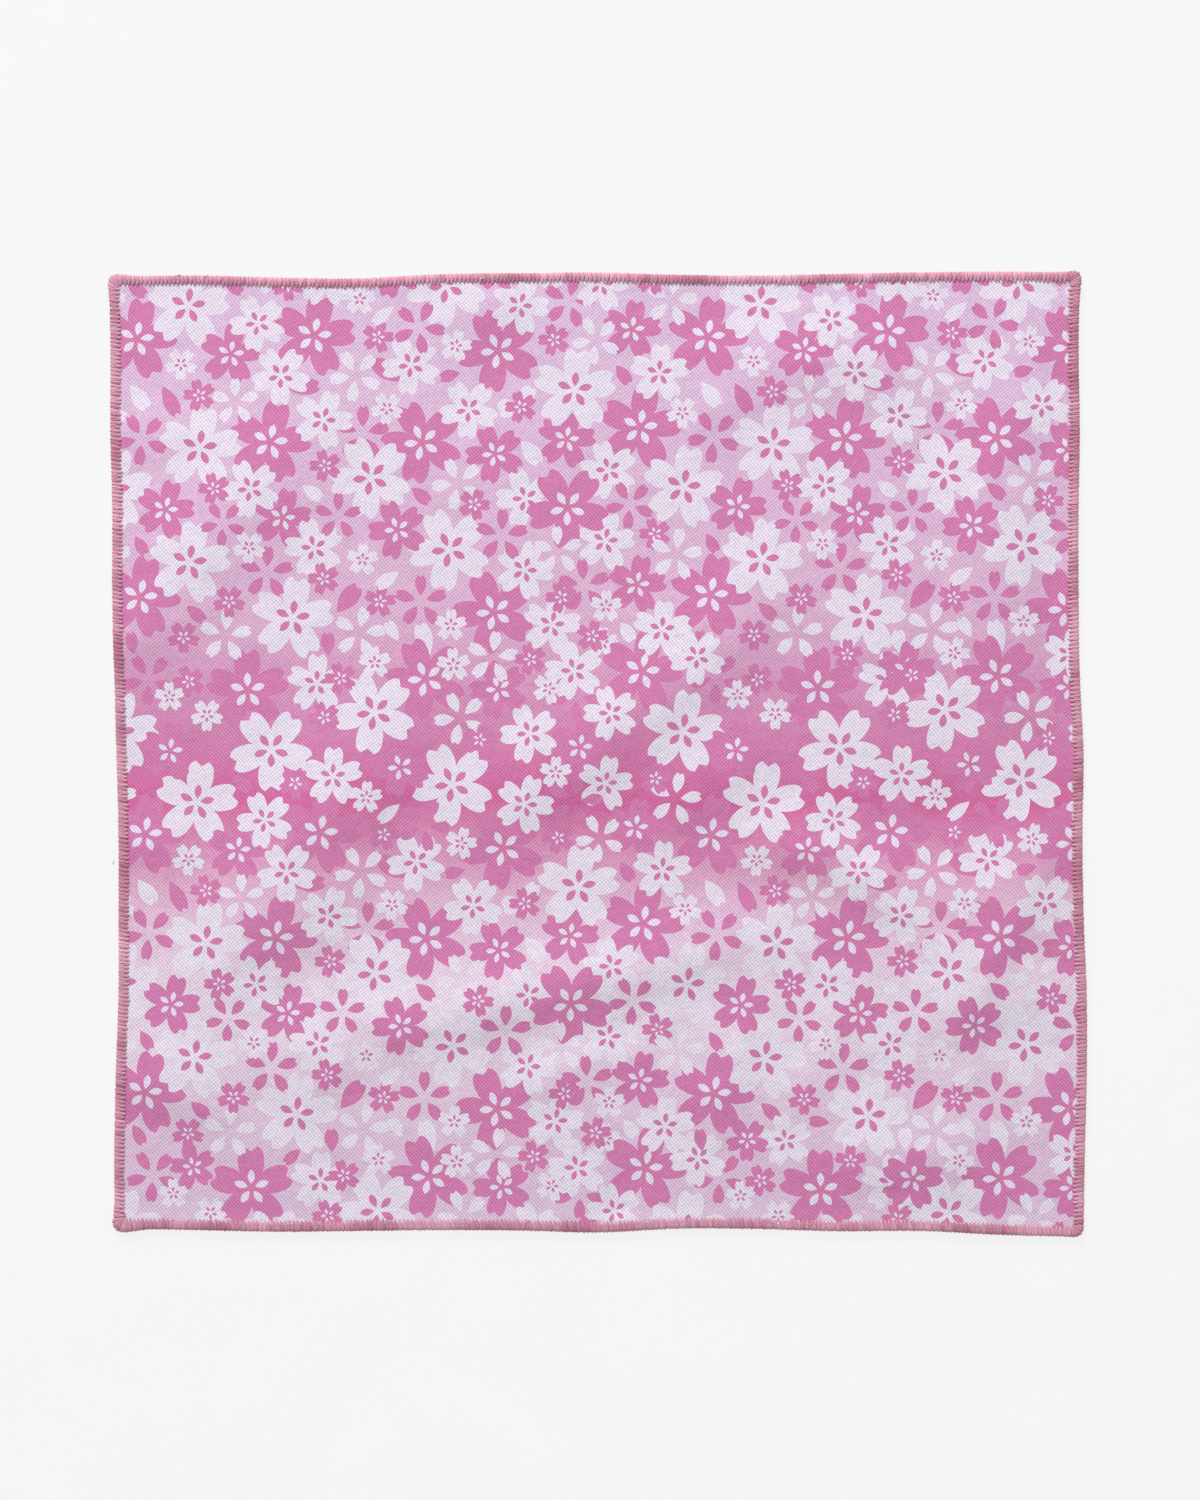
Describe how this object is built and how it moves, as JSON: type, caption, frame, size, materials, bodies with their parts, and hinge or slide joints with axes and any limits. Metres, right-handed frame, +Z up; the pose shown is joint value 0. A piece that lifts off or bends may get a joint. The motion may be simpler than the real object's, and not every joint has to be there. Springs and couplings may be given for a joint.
{
  "type": "towel handkerchief",
  "caption": "Square terry towel handkerchief laid out flat, with a scattered blossom print on a shaded ground and an overlocked thread edge.",
  "frame": {"origin": "under the middle of the cloth's bounding box, on the surface it lies on", "axes": "+Z up out of the printed face, +Y towards the lavender end of the print, +X to the right as the print is seen"},
  "size_m": [0.254, 0.2506, 0.0036],
  "materials": {
    "cloth": "matte",
    "thread": "matte"
  },
  "bodies": {
    "root": {"cloth": "cloth", "overlock_top": "thread", "overlock_bottom": "thread", "overlock_left": "thread", "overlock_right": "thread"}
  },
  "joints": []
}
